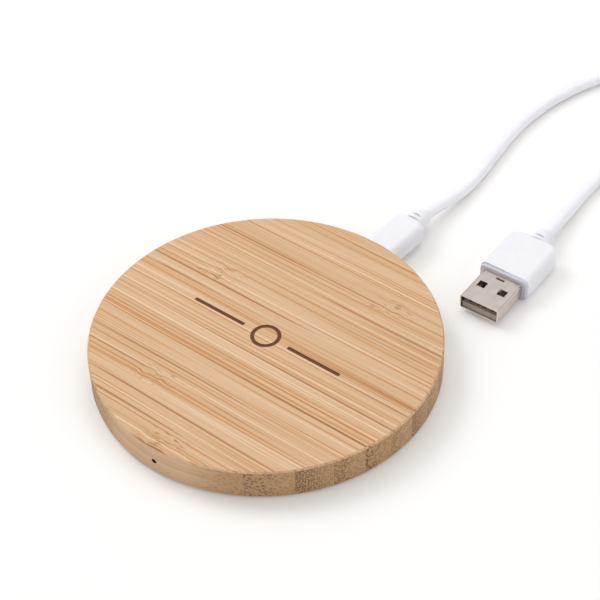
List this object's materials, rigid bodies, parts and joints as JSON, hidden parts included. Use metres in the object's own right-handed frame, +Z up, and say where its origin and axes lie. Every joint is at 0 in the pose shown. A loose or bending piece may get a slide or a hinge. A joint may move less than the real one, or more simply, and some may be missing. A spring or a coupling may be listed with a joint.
{
  "type": "wireless charging pad",
  "caption": "Round laminated bamboo wireless charging pad with a rear port, a status light hole and a plugged-in white lead.",
  "frame": {"origin": "centre of the round pad on the resting plane, under its rubber feet", "axes": "+Z up out of the charging face, +X along the grain, charging port at the +Y side and status light hole at the -Y side"},
  "size_m": [0.1293, 0.2368, 0.01],
  "materials": {
    "bamboo": "fine sanded laminated bamboo with a light oil",
    "cover_plastic": "fine textured black moulding",
    "foot_rubber": "matt rubber",
    "screw_steel": "zinc plated",
    "board_green": "solder mask over glass board",
    "chip_black": "moulded chip package",
    "ceramic": "fired ceramic",
    "litz_copper": "enamelled copper",
    "ferrite": "sintered ferrite",
    "glue_film": "thin adhesive and film",
    "foam": "closed cell foam",
    "clear_plastic": "clear moulded plastic",
    "plug_metal": "nickel plated folded sheet",
    "contact_gold": "gold flashed contacts",
    "white_insert": "white moulded insulator",
    "white_grip": "satin white soft moulding",
    "cord_jacket": "smooth white jacket",
    "tie_strap": "woven hook and loop strap"
  },
  "bodies": {
    "pad": {"bamboo_body": "bamboo", "base_cover": "cover_plastic", "base_screws": "screw_steel", "rubber_feet": "foot_rubber", "main_board": "board_green", "board_screws": "screw_steel", "transmitter_coil": "litz_copper", "coil_leads": "litz_copper", "ferrite_plate": "ferrite", "insulating_film": "glue_film", "coil_adhesive": "glue_film", "coil_temperature_sensor": "chip_black", "foam_spacers": "foam", "charge_controller": "chip_black", "bridge_transistors": "chip_black", "resonance_capacitors": "ceramic", "power_inductor": "ferrite", "chip_capacitors": "ceramic", "chip_resistors": "chip_black", "status_led": "white_insert", "light_pipe": "clear_plastic", "port_shell": "plug_metal", "port_tongue": "chip_black", "port_contacts": "contact_gold"},
    "lead": {"port_plug_body": "white_grip", "port_plug_shell": "plug_metal", "port_plug_insert": "white_insert", "port_plug_contacts": "contact_gold", "port_plug_collar": "white_grip", "cord_from_pad": "cord_jacket", "cord_coil": "cord_jacket", "coil_tie": "tie_strap", "cord_to_plug": "cord_jacket", "usb_plug_collar": "white_grip", "usb_plug_body": "white_grip", "usb_plug_shell": "plug_metal", "usb_plug_insulator": "white_insert", "usb_plug_contacts": "contact_gold"}
  },
  "joints": [
    {"name": "plug_slide", "type": "slide", "parent": "pad", "child": "lead", "axis": [0.0436, 0.999, 0], "range_m": [0, 0.008]}
  ]
}
